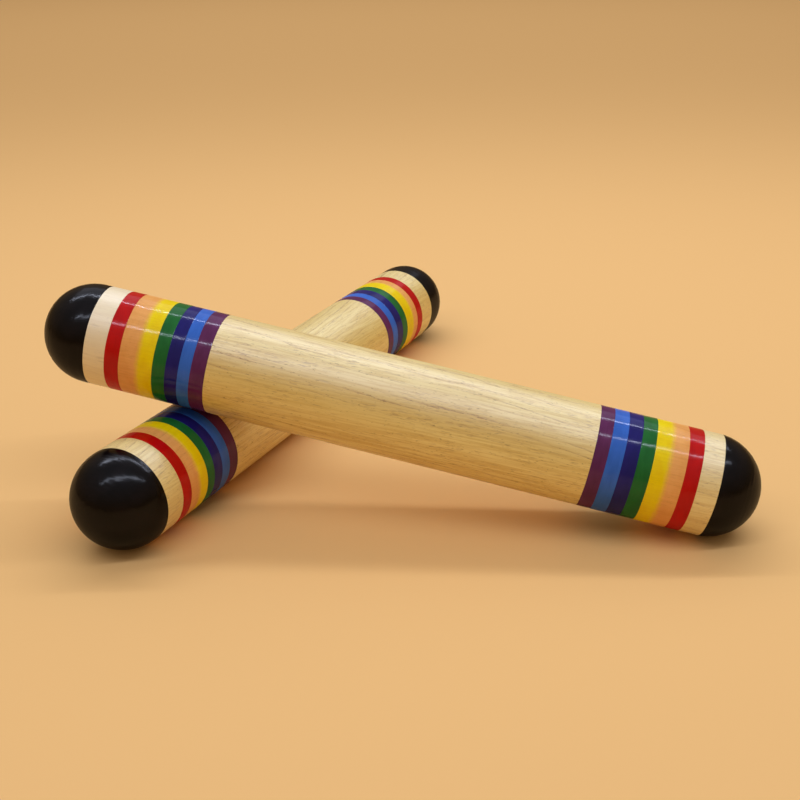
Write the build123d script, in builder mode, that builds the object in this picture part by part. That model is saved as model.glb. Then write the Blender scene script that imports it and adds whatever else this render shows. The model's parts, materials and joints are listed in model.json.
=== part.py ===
from build123d import *
from math import atan, cos, degrees, radians, sin, sqrt
import os

# A pair of claves at rest. The resonator lies flat along X. The striker has one end on the
# ground and its raised end propped on the resonator. Both are turned ash sticks with domed ends.
# Every painted coat is flush with the bare wood beside it, because it fills a shallow recess.

# Driving dimensions, in millimetres
stick_diameter = 25.0
stick_length = 180.0
coat_depth = 0.2
rest_gap = 0.05  # between the two sticks where they cross

# How the striker lies across the resonator
crossing_from_front_tip = 41.6  # along the resonator
crossing_from_raised_tip = 36.2  # along the striker
crossing_angle = 105.7  # in degrees, from the resonator's axis to the striker's, seen from above

# Painted ends. A black coat covers the dome, then comes a band of bare wood, then the colours.
# Each end's numbers are distances from its tip: where black ends, where each colour starts in
# this order, and where the last one ends. The bands are set out by eye, so the ends differ.
colours = ("red", "peach", "yellow", "green", "indigo", "blue", "purple")
raised_edges = (14.4, 19.8, 23.4, 28.0, 31.9, 35.2, 38.3, 41.3, 45.0)
floor_edges = (11.9, 16.7, 20.2, 24.1, 27.8, 31.3, 34.7, 38.3, 41.6)
front_edges = (13.1, 19.1, 22.6, 26.0, 29.4, 32.3, 35.7, 39.0, 42.7)
back_edges = (16.9, 24.4, 28.1, 31.2, 35.8, 39.3, 43.2, 46.5, 50.1)

stick_radius = stick_diameter / 2
half_length = stick_length / 2
dome_centre = half_length - stick_radius  # from a stick's middle to the centre of either dome


def striker_tilt(reach, spread):
    """Degrees that the striker rises, so that its axis passes the resonator's at one diameter
    and the gap. reach is from the ground end's dome centre to the crossing, along the striker.
    The line between the axes is normal to both, which gives a quadratic in the squared slope."""
    apart = (stick_diameter + rest_gap) ** 2
    across = sin(radians(spread)) ** 2
    linear = apart * (1 + across) - reach**2 * across
    root = sqrt(linear**2 - 4 * apart * apart * across)
    return degrees(atan(sqrt((-linear - root) / (2 * apart))))


# The striker's axis, from its ground end up to its raised end
crossing_reach = stick_length - crossing_from_raised_tip - stick_radius
tilt = striker_tilt(crossing_reach, crossing_angle)
striker_direction = Vector(
    cos(radians(tilt)) * cos(radians(crossing_angle)),
    cos(radians(tilt)) * sin(radians(crossing_angle)),
    sin(radians(tilt)),
)

# The origin is on the ground under the middle of the whole pair. The striker spans it along Y,
# so its middle is at Y = 0, and the resonator lies off to one side.
crossing_from_middle = crossing_reach - dome_centre
resonator_middle = Vector(0, crossing_from_middle * striker_direction.Y, stick_radius)
crossing_x = crossing_from_front_tip - half_length
striker_middle = Vector(
    crossing_x - crossing_from_middle * striker_direction.X,
    0,
    stick_radius + dome_centre * striker_direction.Z,
)


def stick_plane(middle, direction):
    """Plane through a stick's middle, with X along the stick and Y level."""
    level = Vector(0, 0, 1).cross(direction)
    return Plane(origin=middle, x_dir=direction, z_dir=direction.cross(level))


def coat_section(start, end):
    """Half section of a coat, above the stick's axis, between two places along that axis."""
    with BuildSketch() as section:
        SlotOverall(stick_length, stick_diameter)
        SlotOverall(
            stick_length - 2 * coat_depth,
            stick_diameter - 2 * coat_depth,
            mode=Mode.SUBTRACT,
        )
        with Locations((start, 0)):
            Rectangle(
                end - start, stick_radius, align=(Align.MIN, Align.MIN), mode=Mode.INTERSECT
            )
    return section.sketch


def end_spans(edges, side):
    """Name and span of each coat on one end. side is 1 on the end that the axis points to."""
    black_end, *bands = edges
    spans = [("black", 0, black_end)]
    spans += [(colour, near, far) for colour, near, far in zip(colours, bands, bands[1:])]
    return [
        (name, *sorted((side * (half_length - near), side * (half_length - far))))
        for name, near, far in spans
    ]


def make_coat(node, plane, start, end):
    """One coat of paint or stain: a ring round the stick, or a thin dome over its tip."""
    with BuildPart() as coat:
        with BuildSketch(plane):
            add(coat_section(start, end))
        revolve(axis=Axis(plane.origin, plane.x_dir))
    coat.part.label = node
    export_step(coat.part, f"parts/{node}.step")


def make_stick(node, plane, spans):
    """The turned wood, one piece from dome to dome, with a recess under each coat."""
    with BuildPart() as stick:
        with BuildSketch(plane):
            SlotOverall(stick_length, stick_diameter)
            Rectangle(
                stick_length, stick_radius, align=(Align.CENTER, Align.MIN), mode=Mode.INTERSECT
            )
            for _, start, end in spans:
                add(coat_section(start, end), mode=Mode.SUBTRACT)
        revolve(axis=Axis(plane.origin, plane.x_dir))
    stick.part.label = node
    export_step(stick.part, f"parts/{node}.step")


def make_clave(name, plane, ends):
    """One clave. ends holds, for each end, its name, its edges and the side that it is on."""
    spans = []
    for end_name, edges, side in ends:
        for colour, start, end in end_spans(edges, side):
            make_coat(f"{name}_{end_name}_{colour}_coat", plane, start, end)
            spans.append((colour, start, end))
    make_stick(f"{name}_stick", plane, spans)


os.makedirs("parts", exist_ok=True)
make_clave(
    "resonator",
    stick_plane(resonator_middle, Vector(1, 0, 0)),
    (("front", front_edges, -1), ("back", back_edges, 1)),
)
make_clave(
    "striker",
    stick_plane(striker_middle, striker_direction),
    (("floor", floor_edges, -1), ("raised", raised_edges, 1)),
)
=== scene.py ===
import json
import math
import random

import bpy
import numpy as np
from mathutils import Matrix, Quaternion, Vector


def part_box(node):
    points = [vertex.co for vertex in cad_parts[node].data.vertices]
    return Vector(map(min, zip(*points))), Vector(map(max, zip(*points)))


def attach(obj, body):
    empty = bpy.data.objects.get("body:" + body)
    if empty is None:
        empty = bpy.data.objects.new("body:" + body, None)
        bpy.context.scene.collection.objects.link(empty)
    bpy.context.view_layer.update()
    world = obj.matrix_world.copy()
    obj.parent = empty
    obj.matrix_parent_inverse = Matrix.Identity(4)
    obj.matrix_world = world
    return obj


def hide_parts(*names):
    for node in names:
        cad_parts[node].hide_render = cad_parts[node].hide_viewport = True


# A pair of claves: two turned ash sticks, each with a black dome and seven painted bands at each
# end. Every piece is a lathe mesh in its own stick's coordinates: X along the stick from its
# middle, Y level and Z towards its upper side, so that the grain and the turning marks follow
# the wood.

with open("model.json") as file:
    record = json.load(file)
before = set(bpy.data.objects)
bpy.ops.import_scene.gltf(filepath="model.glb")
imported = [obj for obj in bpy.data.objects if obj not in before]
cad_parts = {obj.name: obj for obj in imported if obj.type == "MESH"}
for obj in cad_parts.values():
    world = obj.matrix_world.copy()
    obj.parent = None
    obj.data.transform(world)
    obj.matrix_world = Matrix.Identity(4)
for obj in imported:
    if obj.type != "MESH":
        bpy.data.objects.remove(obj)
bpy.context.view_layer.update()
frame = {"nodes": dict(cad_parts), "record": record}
MM = 0.001

# ---------------------------------------------------------------- sizes, in millimetres
COLUMNS = 400  # faces round the bare wood
COAT_COLUMNS = 288  # faces round a coat
BAND_STEP = 0.3  # between rows of vertices across a band
DOME_STEP = 0.2  # between rows of vertices down a dome
COAT_DEPTH = 0.2  # from a coat's surface to the wood under it
PROUD = 0.015  # how far a coat stands above the bare wood
RIM = 0.16  # width of a coat's rounded edge
RIM_DROP = 0.045  # how far a coat drops across it
EDGE_WAVE = 0.09  # height of the largest wave in a hand-painted edge
UNDULATION = 0.02  # deepest hollow left by sanding
PORE_DEPTH = 0.035
PORES = 1500  # tried for each stick; most of those off the porous rings are dropped
RING_SPACING = 1.45  # between growth rings
GRAIN_SLOPE = math.radians(2.5)  # between the fibres and the stick
PITH_DISTANCE = 70.0  # from the stick to the middle of the tree
POROUS_SHARE = 0.3  # of each growth ring's width
STRAY_PORES = 0.07  # share of the pores outside it that stay
BRUSH_DEPTH = 0.012  # deepest mark left by the brush
LATHE_DEPTH = 0.0176  # deepest of the fine rings on a dome
SAG_DEPTH = 0.024  # deepest hollow where the black coat has run
TIP_DROP = 0.012  # from a stick's true end to the coat over it
# How much paler than the rest, 0 to 1, the bare wood between black and red is at each end: partly
# the wood's own paler tone, partly a painted highlight, strongest at the raised end where the light
# falls
GAP_PALENESS_AND_HIGHLIGHT = {"front": 0.15, "back": 0.0, "floor": 0.25, "raised": 0.85}
COLOURS = ("red", "peach", "yellow", "green", "indigo", "blue", "purple")
TURN = 2 * math.pi


# ---------------------------------------------------------------- the two sticks
class Stick:
    """One stick as the frame gives it: its place, its axis and the edges of its coats."""

    def __init__(self, name, ends, ring_turn):  # ring_turn is from up to the way out of the tree
        self.name = name
        self.ends = ends  # the end at -X, then the end at +X
        grip = {m["name"]: m for m in frame["record"]["mounts"]}[f"{name}_grip"]
        self.radius = grip["dims"]["r_mm"]
        self.axis = Vector(grip["axis"]).normalized()
        nodes = frame["record"]["behaviour"]["bodies"][name]
        boxes = [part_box(node) for node in nodes]
        low = Vector([min(box[0][i] for box in boxes) for i in range(3)])
        high = Vector([max(box[1][i] for box in boxes) for i in range(3)])
        self.middle = (low + high) / 2
        level = Vector((0, 0, 1)).cross(self.axis).normalized()
        rotation = Matrix((self.axis, level, self.axis.cross(level))).transposed()
        self.matrix = Matrix.Translation(self.middle) @ rotation.to_4x4() @ Matrix.Scale(MM, 4)
        self.half_length = self.span(f"{name}_{ends[1]}_black_coat")[1]
        self.dome = self.half_length - self.radius
        self.ring_turn = ring_turn

    def span(self, node):
        """Where a node starts and ends along the stick, in millimetres from its middle."""
        along = [self.axis.dot(v.co - self.middle) / MM for v in frame["nodes"][node].data.vertices]
        return min(along), max(along)

    def side(self, end):
        """1 for the end at +X and -1 for the end at -X."""
        return 1 if end == self.ends[1] else -1

    def edges(self, end):
        """Distances from the tip: where black ends, each colour's start, and purple's end."""
        coats = ("black", *COLOURS)
        spans = [self.span(f"{self.name}_{end}_{colour}_coat") for colour in coats]
        near = [self.half_length - max(abs(a), abs(b)) for a, b in spans]
        far = [self.half_length - min(abs(a), abs(b)) for a, b in spans]
        return [far[0], *near[1:], far[-1]]

    def wave(self, end, index, angle):
        """How far the index-th edge of an end strays at each angle, away from the tip."""
        dice = random.Random(f"{self.name} {end} edge {index}")
        shape = sum(
            dice.uniform(0.3, 1) / turns * np.sin(turns * angle + dice.uniform(0, TURN))
            for turns in (1, 2, 3, 5, 9)
        )
        return EDGE_WAVE * shape

    def edge(self, end, index, angle):
        """Place along the stick of the index-th edge of an end at each angle."""
        distance = self.edges(end)[index] + self.wave(end, index, angle)
        return self.side(end) * (self.half_length - distance)

    def ring(self, x, y, z):
        """Growth ring number at each point, counted from the stick's middle."""
        fibre = np.array((math.cos(GRAIN_SLOPE), 0, math.sin(GRAIN_SLOPE)))
        up = np.array((-math.sin(GRAIN_SLOPE), 0, math.cos(GRAIN_SLOPE)))
        side = np.array((0, 1, 0))
        outward = math.cos(self.ring_turn) * up + math.sin(self.ring_turn) * side
        across = np.cross(fibre, outward)
        points = np.stack((x, y, z), -1)
        u = points @ outward + PITH_DISTANCE
        v = points @ across
        # The rings waver along the stick, by up to 0.5 and 0.22 mm
        long_waver = 0.5 * np.sin(x / 21 + 0.7 * self.ring_turn)
        short_waver = 0.22 * np.sin(x / 8.3 + y / 6)
        waver = long_waver + short_waver
        return (np.hypot(u, v) - PITH_DISTANCE + waver) / RING_SPACING


resonator = Stick("resonator", ("front", "back"), math.radians(42))
striker = Stick("striker", ("floor", "raised"), math.radians(-22))


# ---------------------------------------------------------------- meshes
def grid_faces(rows, columns, closed_rows=False):
    """Quads of a grid of vertices that closes round its columns, and round its rows if asked."""
    row = np.arange(rows if closed_rows else rows - 1)[:, None]
    column = np.arange(columns)[None, :]
    here, there = row * columns, (row + 1) % rows * columns
    right = (column + 1) % columns
    corners = (here + column, here + right, there + right, there + column)
    return np.stack(np.broadcast_arrays(*corners), -1).reshape(-1, 4)


def fan_faces(row_start, columns, tip, flip):
    """Triangles from a row of vertices to one tip vertex."""
    column = np.arange(columns)
    a, b = row_start + column, row_start + (column + 1) % columns
    fan = np.stack((a, np.full(columns, tip), b), -1)
    return fan[:, ::-1] if flip else fan


def add_to_scene(name, data):
    """A new object for a mesh, a light or a camera."""
    thing = bpy.data.objects.new(name, data)
    bpy.context.scene.collection.objects.link(thing)
    return thing


def build(name, stick, points, faces, values):
    """A mesh piece made in the stick's own coordinates and laid in place. Each vertex keeps those
    coordinates in stick_place, and its numbers under their names."""
    mesh = bpy.data.meshes.new(name)
    mesh.from_pydata(points.tolist(), [], [face for group in faces for face in group.tolist()])
    for key, numbers in values.items():
        layer = mesh.attributes.new(key, "FLOAT", "POINT")
        layer.data.foreach_set("value", np.asarray(numbers, np.float32).ravel())
    place = mesh.attributes.new("stick_place", "FLOAT_VECTOR", "POINT")
    place.data.foreach_set("vector", points.astype(np.float32).ravel())
    mesh.transform(stick.matrix)
    mesh.shade_smooth()
    mesh.set_sharp_from_angle(angle=math.radians(40))
    mesh.update()
    return add_to_scene(name, mesh)


def around(x, radius, angle):
    """Points at each place along a stick, radius and angle from +Y towards +Z."""
    x, radius, angle = np.broadcast_arrays(x, radius, angle)
    return np.stack((x, radius * np.cos(angle), radius * np.sin(angle)), -1)


def to_unit(waves, count):
    """A sum of that many sines, none over 1, brought to between 0 and 1."""
    return (waves + count) / (2 * count)


def finish_piece(piece, stick, nodes, material):
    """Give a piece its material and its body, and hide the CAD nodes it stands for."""
    piece.data.materials.append(material)
    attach(piece, stick.name)
    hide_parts(*nodes)


# ---------------------------------------------------------------- the turned wood
def pore_field(stick, x, angle):
    """Depth of the open pores, 0 to 1, at each vertex of the wood's grid. A pore is a short
    groove along the fibres. Most lie in the first part of each growth ring."""
    dice = random.Random(f"{stick.name} pores")
    depth = np.zeros(x.shape)
    columns = x.shape[1]
    step = TURN / columns
    middle_x = x[:, 0]
    for _ in range(PORES):
        at = dice.uniform(middle_x[0], middle_x[-1])
        turn = dice.uniform(0, TURN)
        length = dice.uniform(0.7, 1.7)
        width = dice.uniform(0.1, 0.16)
        strength = dice.uniform(0.25, 1) ** 2
        centre = around(np.array(at), np.array(stick.radius), np.array(turn))
        phase = float(stick.ring(*centre)) % 1
        if phase > POROUS_SHARE and dice.random() > STRAY_PORES:
            continue
        rows = np.where(np.abs(middle_x - at) < length)[0]
        if len(rows) == 0:
            continue
        drift = math.tan(GRAIN_SLOPE) * math.cos(turn) / stick.radius
        reach = int(math.ceil((2 * width / stick.radius + abs(drift) * length) / step)) + 1
        near = np.arange(int(turn / step) - reach, int(turn / step) + reach + 1)
        block = np.ix_(rows, near % columns)
        off_x = x[block] - at
        off_angle = near[None, :] * step - turn - drift * off_x
        across = off_angle * stick.radius / width
        groove = strength * np.exp(-(across**2)) * np.clip(1 - (off_x / length) ** 2, 0, 1)
        depth[block] = np.maximum(depth[block], groove)
    return depth


def wood_sections(stick):
    """The wood from -X to +X as (start edge, end edge, rows, recessed). An edge is an end's name
    and the index of its painted edge, or None at a tip."""
    low, high = stick.ends
    return (
        (None, (low, 0), 14, True),
        ((low, 0), (low, 1), 12, False),
        ((low, 1), (low, 8), 10, True),
        ((low, 8), (high, 8), 150, False),
        ((high, 8), (high, 1), 10, True),
        ((high, 1), (high, 0), 12, False),
        ((high, 0), None, 14, True),
    )


def make_wood(stick, material):
    """The turned stick: one mesh from tip to tip, recessed under the coats."""
    angle = np.arange(COLUMNS) * TURN / COLUMNS
    tip = stick.half_length - COAT_DEPTH
    rows_x, rows_depth = [], []
    for start, end, count, recessed in wood_sections(stick):
        first = stick.edge(*start, angle) if start else np.full(COLUMNS, -tip)
        last = stick.edge(*end, angle) if end else np.full(COLUMNS, tip)
        share = np.linspace(0, 1, count + 1)
        if start is None:  # rows crowd towards a tip, where the dome curves away
            share = 1 - np.cos(share[1:] * math.pi / 2)
        if end is None:
            share = np.sin(share[:-1] * math.pi / 2)
        for t in share:
            rows_x.append(first + t * (last - first))
            rows_depth.append(COAT_DEPTH if recessed else PROUD)
    x = np.array(rows_x)
    depth = np.array(rows_depth)[:, None]
    bare = depth == PROUD
    pores = pore_field(stick, x, angle) * bare
    dice = random.Random(f"{stick.name} sanding")
    hollow = sum(
        np.sin(turns * angle + x / dice.uniform(9, 30) + dice.uniform(0, TURN))
        for turns in (1, 2, 3, 5)
    )
    relief = UNDULATION * to_unit(hollow, 4) + PORE_DEPTH * pores
    dome_radius = stick.radius - depth
    beyond = np.clip(np.abs(x) - stick.dome, 0, None)
    # The clip keeps every row at least 0.1 mm in radius
    radius = np.sqrt(np.clip(dome_radius**2 - beyond**2, 0.01, None)) - relief * bare
    points = around(x, radius, angle).reshape(-1, 3)
    rows = len(x)
    tips = np.array(((-tip, 0, 0), (tip, 0, 0)))
    faces = [
        grid_faces(rows, COLUMNS)[:, ::-1],
        fan_faces(0, COLUMNS, rows * COLUMNS, True),
        fan_faces((rows - 1) * COLUMNS, COLUMNS, rows * COLUMNS + 1, False),
    ]
    points = np.concatenate((points, tips))
    ring = stick.ring(*points.T)
    pore = np.concatenate((pores.ravel(), (0, 0)))
    pale = np.zeros(len(points))
    # Paleness of the bare wood by each end: partly the wood's own tone, partly a painted highlight
    for end in stick.ends:
        under_bands = stick.half_length - stick.edges(end)[4]  # hidden, where green starts
        pale[stick.side(end) * points[:, 0] > under_bands] = GAP_PALENESS_AND_HIGHLIGHT[end]
    values = {"ring": ring, "pore": pore, "pale": pale}
    piece = build(f"{stick.name}_wood", stick, points, faces, values)
    finish_piece(piece, stick, [f"{stick.name}_stick"], material)


# ---------------------------------------------------------------- coats of paint
def coat_shares(width, step):
    """Places across a coat, from 0 to 1, that crowd at its rounded edges."""
    rim = RIM / width
    inside = np.linspace(rim, 1 - rim, max(3, round((width - 2 * RIM) / step)) + 1)
    edge = np.array((0, 0.15, 0.4, 0.7)) * rim
    return np.concatenate((edge, inside, 1 - edge[::-1]))


def rounded(distance):
    """How far a coat's surface drops below its full height near an edge."""
    inside = np.clip(distance / RIM, 0, 1)
    return RIM_DROP * (1 - np.sqrt(1 - (1 - inside) ** 2))


def make_band(stick, end, index, material):
    """One colour's ring: a thin closed shell whose two edges waver as a brush leaves them."""
    colour = COLOURS[index - 1]
    angle = np.arange(COAT_COLUMNS) * TURN / COAT_COLUMNS
    near = stick.edge(end, index, angle)
    far = stick.edge(end, index + 1, angle)
    if near[0] > far[0]:
        near, far = far, near
    width = far - near
    shares = coat_shares(float(width.mean()), BAND_STEP)[:, None]
    x = near + shares * width
    drop = np.maximum(rounded(x - near), rounded(far - x))
    dice = random.Random(f"{stick.name} {end} {colour}")
    brush = sum(
        np.sin(turns * angle + x * dice.uniform(0.5, 2) + dice.uniform(0, TURN))
        for turns in (2, 3, 7, 11)
    )
    outer = around(x, stick.radius - drop - BRUSH_DEPTH * to_unit(brush, 4), angle)
    inner_x = x[[-1, len(x) // 2, 0]]  # three rows are enough on the hidden side
    inner = around(inner_x, stick.radius - COAT_DEPTH, angle)
    points = np.concatenate((outer, inner)).reshape(-1, 3)
    rows = len(x) + len(inner_x)
    from_tip = stick.half_length - np.abs(points[:, 0])
    edges = stick.edges(end)
    values = {
        "ring": stick.ring(*points.T),
        "from_tip_edge": from_tip - edges[index],
        "from_far_edge": edges[index + 1] - from_tip,
    }
    faces = [grid_faces(rows, COAT_COLUMNS, closed_rows=True)[:, ::-1]]
    name = f"{stick.name}_{end}_{colour}"
    piece = build(f"{name}_paint", stick, points, faces, values)
    finish_piece(piece, stick, [f"{name}_coat"], material)


def make_dome(stick, end, material):
    """The black coat over a tip: a thin closed cap with fine rings left by the lathe."""
    angle = np.arange(COAT_COLUMNS) * TURN / COAT_COLUMNS
    side = stick.side(end)
    edge = stick.edge(end, 0, angle)
    dice = random.Random(f"{stick.name} {end} dome")
    quarter = math.pi / 2 * stick.radius
    arc_end = quarter + stick.dome - np.abs(edge)  # arc length from the tip to the edge
    # A coat twice as long has two rounded edges. Its far half runs from the tip to one of them.
    shares = 2 * coat_shares(2 * float(arc_end.mean()), DOME_STEP)[::-1] - 1
    shares = shares[shares > 0.004][:, None]  # the tip is a vertex of its own
    arc = arc_end * shares
    bend = np.minimum(arc, quarter) / stick.radius
    x = side * (stick.dome + stick.radius * np.cos(bend) - np.maximum(arc - quarter, 0))
    ridges = sum(
        dice.uniform(0.4, 1) * np.sin(TURN * arc / pitch + dice.uniform(0, TURN))
        for pitch in (0.83, 1.37, 2.3, 4.1)
    )
    sag = sum(
        np.sin(turns * angle + arc / 4 + dice.uniform(0, TURN))
        for turns in (1, 2, 3)
    )
    hollow = LATHE_DEPTH * to_unit(ridges, 4) + SAG_DEPTH * to_unit(sag, 3)
    height = stick.radius - rounded(arc_end - arc) - hollow
    outer = around(
        x - side * np.cos(bend) * (stick.radius - height), height * np.sin(bend), angle
    )
    inner_radius = stick.radius - COAT_DEPTH
    inner_arc = arc_end * np.linspace(0.06, 1, 14)[:, None]
    inner_bend = np.minimum(inner_arc, quarter) / stick.radius
    inner_x = stick.dome + inner_radius * np.cos(inner_bend) - np.maximum(inner_arc - quarter, 0)
    inner = around(side * inner_x, inner_radius * np.sin(inner_bend), angle)
    rows = len(outer) + len(inner)
    grid = np.concatenate((outer[::-1], inner[::-1]))  # tip to edge outside, edge to tip inside
    outer_tip, inner_tip = stick.half_length - TIP_DROP, stick.dome + inner_radius
    tips = np.array(((side * outer_tip, 0, 0), (side * inner_tip, 0, 0)))
    points = np.concatenate((grid.reshape(-1, 3), tips))
    count = rows * COAT_COLUMNS
    flip = side < 0
    quads = grid_faces(rows, COAT_COLUMNS)
    faces = [
        quads[:, ::-1] if flip else quads,
        fan_faces(0, COAT_COLUMNS, count, flip),
        fan_faces(count - COAT_COLUMNS, COAT_COLUMNS, count + 1, not flip),
    ]
    arcs = np.concatenate((arc[::-1].ravel(), inner_arc[::-1].ravel(), (0, 0)))
    piece = build(f"{stick.name}_{end}_black_paint", stick, points, faces, {"arc": arcs})
    finish_piece(piece, stick, [f"{stick.name}_{end}_black_coat"], material)


# ---------------------------------------------------------------- materials
def srgb(red, green, blue):
    """Linear colour, with an alpha of 1, from sRGB values of 0 to 255."""
    parts = [value / 255 for value in (red, green, blue)]
    return tuple(p / 12.92 if p <= 0.04045 else ((p + 0.055) / 1.055) ** 2.4 for p in parts) + (1,)


PALE_ASH = srgb(235, 210, 121)
WOOD_BUMP = 0.00008  # heights of the bumps that are too fine for the meshes, in metres
PAINT_BUMP = 0.00006
LACQUER_BUMP = 0.00009


class Nodes:
    """A material's node tree, with short ways to add to it."""

    def __init__(self, name):
        self.material = bpy.data.materials.new(name)
        self.material.use_nodes = True
        self.tree = self.material.node_tree
        self.shader = self.tree.nodes["Principled BSDF"]

    def add(self, kind, inputs=None, **settings):
        """A new node. inputs are sockets by name or number, settings the node's own."""
        node = self.tree.nodes.new(kind)
        for key, value in settings.items():
            setattr(node, key, value)
        for key, value in (inputs or {}).items():
            self.put(node.inputs[key], value)
        return node

    def put(self, socket, value):
        """Link a socket to another one, or set it to a value."""
        if isinstance(value, bpy.types.NodeSocket):
            self.tree.links.new(value, socket)
        else:
            socket.default_value = value

    def math(self, operation, a, b=0.0, clamp=False):
        node = self.add("ShaderNodeMath", {0: a, 1: b}, operation=operation, use_clamp=clamp)
        return node.outputs[0]

    def attribute(self, name):
        """One of the numbers that build() stored with the vertices."""
        return self.add("ShaderNodeAttribute", attribute_name=name).outputs["Fac"]

    def stretched(self, scale):
        """The stick's own coordinates in millimetres, scaled along each axis."""
        place = self.add("ShaderNodeAttribute", attribute_name="stick_place").outputs["Vector"]
        tilt = (0, -GRAIN_SLOPE, 0)
        turned = self.add("ShaderNodeMapping", {0: place, "Rotation": tilt}).outputs[0]
        return self.add("ShaderNodeMapping", {0: turned, "Scale": scale}).outputs[0]

    def noise(self, scale, detail=2.0, roughness=0.5):
        """Noise that stays with the stick. scale is its cells per millimetre along each axis."""
        inputs = {"Vector": self.stretched(scale), "Scale": 1.0}
        inputs.update({"Detail": detail, "Roughness": roughness})
        return self.add("ShaderNodeTexNoise", inputs).outputs["Fac"]

    def remap(self, value, low, high, to_low=0.0, to_high=1.0, smooth=True):
        """A value brought from one range to another and held inside it."""
        inputs = {"Value": value, "From Min": low, "From Max": high}
        inputs.update({"To Min": to_low, "To Max": to_high})
        kind = "SMOOTHSTEP" if smooth else "LINEAR"
        return self.add("ShaderNodeMapRange", inputs, interpolation_type=kind).outputs[0]

    def mix(self, share, a, b, blend="MIX"):
        """Colour a blended with colour b by a share of 0 to 1."""
        node = self.add("ShaderNodeMix", data_type="RGBA", blend_type=blend)
        self.put(node.inputs["Factor"], share)
        self.put(node.inputs[6], a)  # the node's colour sockets are 6 and 7, and 2 for the result
        self.put(node.inputs[7], b)
        return node.outputs[2]

    def bump(self, height, strength, distance):
        """The normal over bumps. distance is how tall a height of 1 is, in metres."""
        inputs = {"Height": height, "Strength": strength, "Distance": distance}
        return self.add("ShaderNodeBump", inputs).outputs[0]


def grain_marks(nodes):
    """Numbers from 0 to 1 for ash: the dark line that starts each growth ring, the porous zone
    after it, fibre streaks, short dashes, longer flecks, and broad patches."""
    waver = nodes.remap(nodes.noise((0.045, 0.3, 0.3), 3), 0, 1, -0.6, 0.6, smooth=False)
    ring = nodes.math("ADD", nodes.attribute("ring"), waver)
    phase = nodes.math("FRACT", ring)
    number = nodes.math("FLOOR", ring)
    white = nodes.add("ShaderNodeTexWhiteNoise", {"W": number}, noise_dimensions="1D")
    vigour = nodes.remap(white.outputs["Value"], 0.1, 1, 0.15, 1)
    fade = nodes.remap(nodes.noise((0.03, 0.4, 0.4), 2), 0.35, 0.6, 0.25, 1)
    vigour = nodes.math("MULTIPLY", vigour, fade)
    broken = nodes.remap(nodes.noise((0.45, 3.5, 3.5), 2), 0.4, 0.6, 0.3, 1)
    line = nodes.math("MULTIPLY", nodes.remap(phase, 0.0, 0.28, 1, 0), vigour)
    line = nodes.math("MULTIPLY", line, broken)
    porous = nodes.math("MULTIPLY", nodes.remap(phase, 0.0, 0.5, 1, 0), vigour)
    fibre = nodes.noise((0.05, 1.7, 1.7), 5, 0.7)
    dash_noise = nodes.noise((0.95, 4.2, 4.2), 2, 0.5)
    cut = nodes.remap(porous, 0, 1, 0.66, 0.545, smooth=False)
    dashes = nodes.remap(nodes.math("SUBTRACT", dash_noise, cut), 0, 0.06)
    groups = nodes.remap(nodes.noise((0.05, 0.33, 0.33), 2), 0.42, 0.6)
    flecks = nodes.remap(nodes.noise((0.42, 4.0, 4.0), 1), 0.57, 0.66)
    flecks = nodes.math("MULTIPLY", flecks, groups)
    patches = nodes.noise((0.012, 0.09, 0.09), 2)
    return line, porous, fibre, dashes, flecks, patches


def ash_colour(nodes):
    """Pale ash: cream latewood, tan porous rings, brown flecks and dashes along the fibres, and
    paler gaps at the ends, partly a painted highlight. marks is how far the varnish has sunk in,
    from 0 to 1."""
    line, porous, fibre, dashes, flecks, patches = grain_marks(nodes)
    colour = nodes.mix(nodes.remap(patches, 0.35, 0.65), PALE_ASH, srgb(223, 192, 96))
    streak = nodes.remap(fibre, 0.42, 0.62, 0, 0.75)
    colour = nodes.mix(streak, colour, srgb(208, 172, 69))
    colour = nodes.mix(nodes.math("MULTIPLY", porous, 0.3), colour, srgb(200, 163, 80))
    colour = nodes.mix(nodes.math("MULTIPLY", line, 0.75), colour, srgb(156, 106, 20))
    colour = nodes.mix(nodes.math("MULTIPLY", flecks, 0.52), colour, srgb(162, 114, 22))
    colour = nodes.mix(nodes.math("MULTIPLY", dashes, 0.56), colour, srgb(116, 70, 6))
    # Paler bare wood at the ends: partly its own tone, partly a painted highlight
    pale = nodes.math("MULTIPLY", nodes.attribute("pale"), 0.9)
    colour = nodes.mix(pale, colour, srgb(235, 216, 176))
    marks = nodes.math("ADD", nodes.math("MULTIPLY", line, 0.6), dashes)
    marks = nodes.math("ADD", marks, nodes.math("MULTIPLY", pale, 0.6))
    marks = nodes.math("ADD", marks, nodes.math("MULTIPLY", streak, 0.3), clamp=True)
    return colour, fibre, dashes, marks


def ash_material():
    """Ash under satin varnish. The varnish is thinner where it has sunk into the grain marks, so
    they stay brown in a highlight."""
    nodes = Nodes("ash_varnished")
    colour, fibre, dashes, marks = ash_colour(nodes)
    pore = nodes.attribute("pore")
    colour = nodes.mix(nodes.math("MULTIPLY", pore, 0.5), colour, srgb(124, 82, 32))
    shader = nodes.shader
    nodes.put(shader.inputs["Base Color"], colour)
    nodes.put(shader.inputs["Roughness"], nodes.remap(fibre, 0.3, 0.7, 0.42, 0.56))
    relief = nodes.math("SUBTRACT", fibre, nodes.math("MULTIPLY", dashes, 0.8))
    nodes.put(shader.inputs["Normal"], nodes.bump(relief, 0.25, WOOD_BUMP))
    nodes.put(shader.inputs["Coat Normal"], nodes.bump(relief, 0.3, WOOD_BUMP))
    shader.inputs["Specular IOR Level"].default_value = 0.5
    nodes.put(shader.inputs["Coat Weight"], nodes.remap(marks, 0, 1, 1, 0.5, smooth=False))
    shader.inputs["Coat Roughness"].default_value = 0.46
    shader.inputs["Coat IOR"].default_value = 2.2
    return nodes.material


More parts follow.
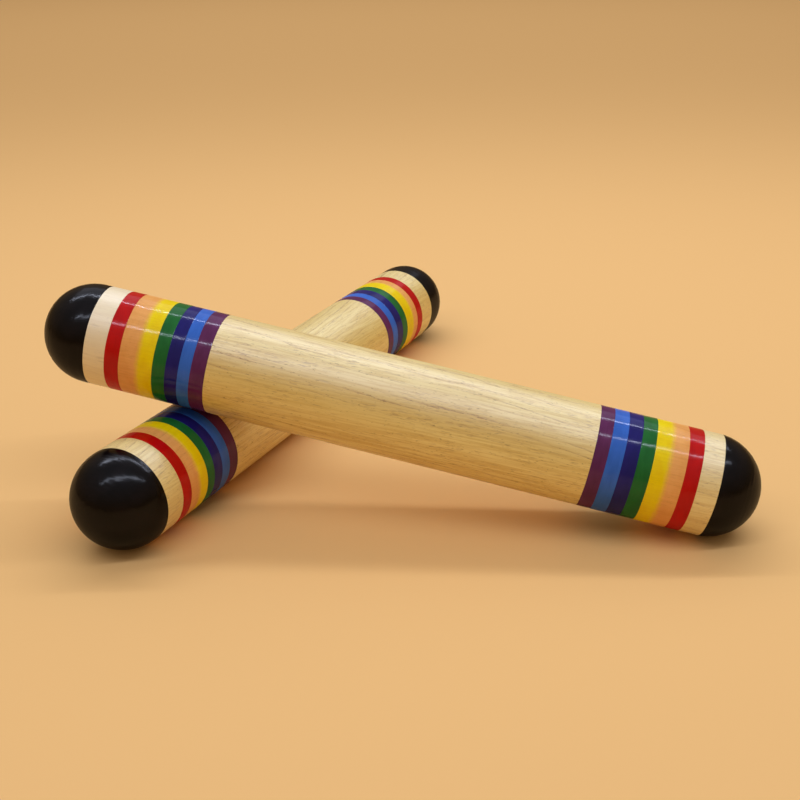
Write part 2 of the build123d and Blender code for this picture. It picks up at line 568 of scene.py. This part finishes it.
def paint_material(name, colour, shade, neighbours=(None, None), see_grain=0.0):
    """Thin paint under clear varnish. shade is where the brush left it thicker. neighbours are
    the colours past the tip side and the far side where the two run together. see_grain is how
    much of the wood shows through, from 0 to 1."""
    nodes = Nodes(name)
    streaks = nodes.noise((2.6, 0.22, 0.22), 3, 0.6)
    cloud = nodes.noise((0.35, 0.16, 0.16), 2)
    body = nodes.mix(nodes.remap(cloud, 0.35, 0.65, 0, 0.5), colour, shade)
    strength = 0.12 if see_grain else 0.3
    body = nodes.mix(nodes.remap(streaks, 0.45, 0.75, 0, strength), body, shade)
    fray = nodes.remap(nodes.noise((0.5, 0.8, 0.8), 2), 0.3, 0.7, -0.16, 0.16, smooth=False)
    for neighbour, edge in zip(neighbours, ("from_tip_edge", "from_far_edge")):
        if neighbour:
            distance = nodes.math("ADD", nodes.attribute(edge), fray)
            body = nodes.mix(nodes.remap(distance, -0.2, 0.9, 0.5, 0), body, neighbour)
    if see_grain:
        grain = ash_colour(nodes)[0]
        lighter = nodes.mix(1.0, grain, PALE_ASH, "DIVIDE")
        body = nodes.mix(see_grain, body, nodes.mix(1.0, body, lighter, "MULTIPLY"))
    fibre = nodes.noise((0.08, 2.4, 2.4), 4, 0.6)
    orange_peel = nodes.noise((0.9, 0.9, 0.9), 2)
    nib_place = nodes.stretched((0.34, 0.34, 0.34))
    nibs = nodes.add("ShaderNodeTexVoronoi", {"Vector": nib_place, "Scale": 1.0})
    nib = nodes.remap(nibs.outputs["Distance"], 0.02, 0.05, 1, 0)
    relief = nodes.math("ADD", nodes.math("MULTIPLY", fibre, 0.5), orange_peel)
    relief = nodes.math("ADD", relief, nodes.math("MULTIPLY", nib, 1.2))
    shader = nodes.shader
    nodes.put(shader.inputs["Base Color"], body)
    nodes.put(shader.inputs["Roughness"], nodes.remap(streaks, 0.3, 0.7, 0.38, 0.5))
    bumped = nodes.bump(relief, 0.2, PAINT_BUMP)
    nodes.put(shader.inputs["Normal"], bumped)
    nodes.put(shader.inputs["Coat Normal"], bumped)
    shader.inputs["Specular IOR Level"].default_value = 0.0
    shader.inputs["Coat Weight"].default_value = 0.42
    shader.inputs["Coat Roughness"].default_value = 0.12
    shader.inputs["Coat IOR"].default_value = 1.5
    return nodes.material


def black_material():
    """Black lacquer, smeared in places over the rings that the lathe left."""
    nodes = Nodes("black_lacquer")
    rings = {"W": nodes.attribute("arc"), "Scale": 0.7, "Detail": 1.0}
    lathe = nodes.add("ShaderNodeTexNoise", rings, noise_dimensions="1D").outputs["Fac"]
    smear = nodes.noise((0.3, 0.3, 0.3), 3)
    relief = nodes.math("MULTIPLY", lathe, nodes.remap(smear, 0.35, 0.65, 0.3, 1))
    relief = nodes.bump(relief, 0.6, LACQUER_BUMP)
    shader = nodes.shader
    shade = nodes.remap(smear, 0.35, 0.7)
    nodes.put(shader.inputs["Base Color"], nodes.mix(shade, srgb(4, 1, 2), srgb(12, 6, 7)))
    nodes.put(shader.inputs["Normal"], relief)
    nodes.put(shader.inputs["Coat Normal"], relief)
    shader.inputs["Roughness"].default_value = 0.35
    shader.inputs["Specular IOR Level"].default_value = 0.0
    shader.inputs["Coat Weight"].default_value = 0.36
    shader.inputs["Coat Roughness"].default_value = 0.17
    shader.inputs["Coat IOR"].default_value = 1.5
    return nodes.material


PAINTS = {  # each paint's colour, and its shade where the brush left it thicker
    "red": (srgb(187, 13, 10), srgb(165, 7, 8)),
    "peach": (srgb(234, 169, 95), srgb(224, 153, 80)),
    "yellow": (srgb(237, 210, 8), srgb(228, 190, 4)),
    "green": (srgb(31, 104, 44), srgb(22, 84, 33)),
    "indigo": (srgb(31, 27, 101), srgb(22, 19, 80)),
    "blue": (srgb(53, 102, 188), srgb(42, 86, 168)),
    "purple": (srgb(94, 40, 82), srgb(76, 28, 62)),
}


def make_materials():
    """A material for each colour, for the black lacquer and for the bare wood."""
    yellow, peach = PAINTS["yellow"][0], PAINTS["peach"][0]
    special = {
        "peach": {"neighbours": (None, yellow), "see_grain": 0.35},
        "yellow": {"neighbours": (peach, None), "see_grain": 0.22},
    }
    made = {c: paint_material(f"{c}_coat", *PAINTS[c], **special.get(c, {})) for c in COLOURS}
    made["black"] = black_material()
    made["wood"] = ash_material()
    return made


# ---------------------------------------------------------------- the studio
FLOOR_REACH = 4.0  # metres from the middle to each edge
FLOOR_COLOUR = srgb(231, 184, 119)
LAMP_COLOUR = (0.875, 0.95, 1.16)
STRIP_HEIGHT = 0.42  # metres above the floor
STRIP_SIZE = (0.8, 0.007)  # metres
# Each strip: metres towards the camera, turn from square to the view in radians, and watts
STRIPS = {"back": (-0.182, 0.04, 1.1), "front": (0.183, 0.2, 0.94)}
PANEL_PLACE = (-1.1, 1.0)  # metres towards the camera, and up
PANEL_SIZE = (1.6, 1.2)  # metres
PANEL_WATTS = 4.8
ROOF = (0.52, 0.54, 0.6)  # light from the tent
WALL_TOP = (0.42, 0.33, 0.25)
WALL_FOOT = (0.36, 0.21, 0.08)  # close to the far floor, so that no horizon shows
TENT = ((0.02, WALL_FOOT), (0.4, WALL_TOP), (1.0, ROOF))  # by the sine of the elevation
VIEW_AZIMUTH = math.radians(205.9)  # from the object to the camera, from +X towards +Y
VIEW_ELEVATION = math.radians(23.92)
VIEW_ROLL = math.radians(0.62)
VIEW_DISTANCE = 0.324  # metres
VIEW_TARGET = Vector((0.0009, -0.0352, 0))  # metres from the middle of the resonator
LENS = 51.8  # millimetres
SENSOR_WIDTH = 36  # millimetres


def make_floor():
    """A plain floor in one matt colour."""
    reach = FLOOR_REACH
    mesh = bpy.data.meshes.new("floor")
    corners = [(-reach, -reach, 0), (reach, -reach, 0), (reach, reach, 0), (-reach, reach, 0)]
    mesh.from_pydata(corners, [], [(0, 1, 2, 3)])
    nodes = Nodes("pale_floor")
    nodes.shader.inputs["Base Color"].default_value = FLOOR_COLOUR
    nodes.shader.inputs["Roughness"].default_value = 0.9
    nodes.shader.inputs["Specular IOR Level"].default_value = 0.0
    mesh.materials.append(nodes.material)
    floor = add_to_scene("floor", mesh)


def area_light(name, place, size, watts, turn):
    """A rectangular light that points straight down, its length turned from +X."""
    lamp = bpy.data.lights.new(name, "AREA")
    lamp.shape = "RECTANGLE"
    lamp.size, lamp.size_y = size
    lamp.energy = watts
    lamp.color = LAMP_COLOUR
    light = add_to_scene(name, lamp)
    light.location = place
    light.rotation_euler = (0, 0, turn)


def make_lights():
    """Two long strips of lamps in the roof of a light tent, and a wide soft panel farther back."""
    right = VIEW_AZIMUTH + math.pi / 2
    toward = Vector((math.cos(VIEW_AZIMUTH), math.sin(VIEW_AZIMUTH), 0))
    up = Vector((0, 0, 1))
    for name, (offset, turn, watts) in STRIPS.items():
        place = toward * offset + up * STRIP_HEIGHT
        area_light(f"strip_{name}", place, STRIP_SIZE, watts, right + turn)
    place = toward * PANEL_PLACE[0] + up * PANEL_PLACE[1]
    area_light("background_panel", place, PANEL_SIZE, PANEL_WATTS, right)


def make_surround():
    """The tent itself: a pale roof, and walls that take on the floor's warm colour."""
    world = bpy.data.worlds.new("surround")
    world.use_nodes = True
    tree = world.node_tree
    direction = tree.nodes.new("ShaderNodeTexCoord").outputs["Generated"]
    height = tree.nodes.new("ShaderNodeSeparateXYZ")
    ramp = tree.nodes.new("ShaderNodeValToRGB")
    ramp.color_ramp.elements.new(TENT[1][0])
    for element, (place, colour) in zip(ramp.color_ramp.elements, TENT):
        element.position = place
        element.color = (*colour, 1)
    tree.links.new(direction, height.inputs[0])
    tree.links.new(height.outputs["Z"], ramp.inputs["Fac"])
    tree.links.new(ramp.outputs["Color"], tree.nodes["Background"].inputs["Color"])
    bpy.context.scene.world = world


def make_camera():
    """The camera, a little above the sticks, and rolled slightly."""
    away = Vector((
        math.cos(VIEW_ELEVATION) * math.cos(VIEW_AZIMUTH),
        math.cos(VIEW_ELEVATION) * math.sin(VIEW_AZIMUTH),
        math.sin(VIEW_ELEVATION),
    ))
    camera = add_to_scene("camera", bpy.data.cameras.new("camera"))
    camera.data.lens = LENS
    camera.data.sensor_width = SENSOR_WIDTH
    camera.data.clip_start = 0.01
    camera.rotation_mode = "QUATERNION"
    camera.location = resonator.middle + VIEW_TARGET + away * VIEW_DISTANCE
    roll = Quaternion((0, 0, 1), -VIEW_ROLL)
    camera.rotation_quaternion = (-away).to_track_quat("-Z", "Y") @ roll
    bpy.context.scene.camera = camera


# ---------------------------------------------------------------- everything together
materials = make_materials()
for stick in (resonator, striker):
    make_wood(stick, materials["wood"])
    for end in stick.ends:
        make_dome(stick, end, materials["black"])
        for index, colour in enumerate(COLOURS, 1):
            make_band(stick, end, index, materials[colour])
make_floor()
make_lights()
make_surround()
make_camera()
bpy.context.scene.view_settings.view_transform = "Standard"
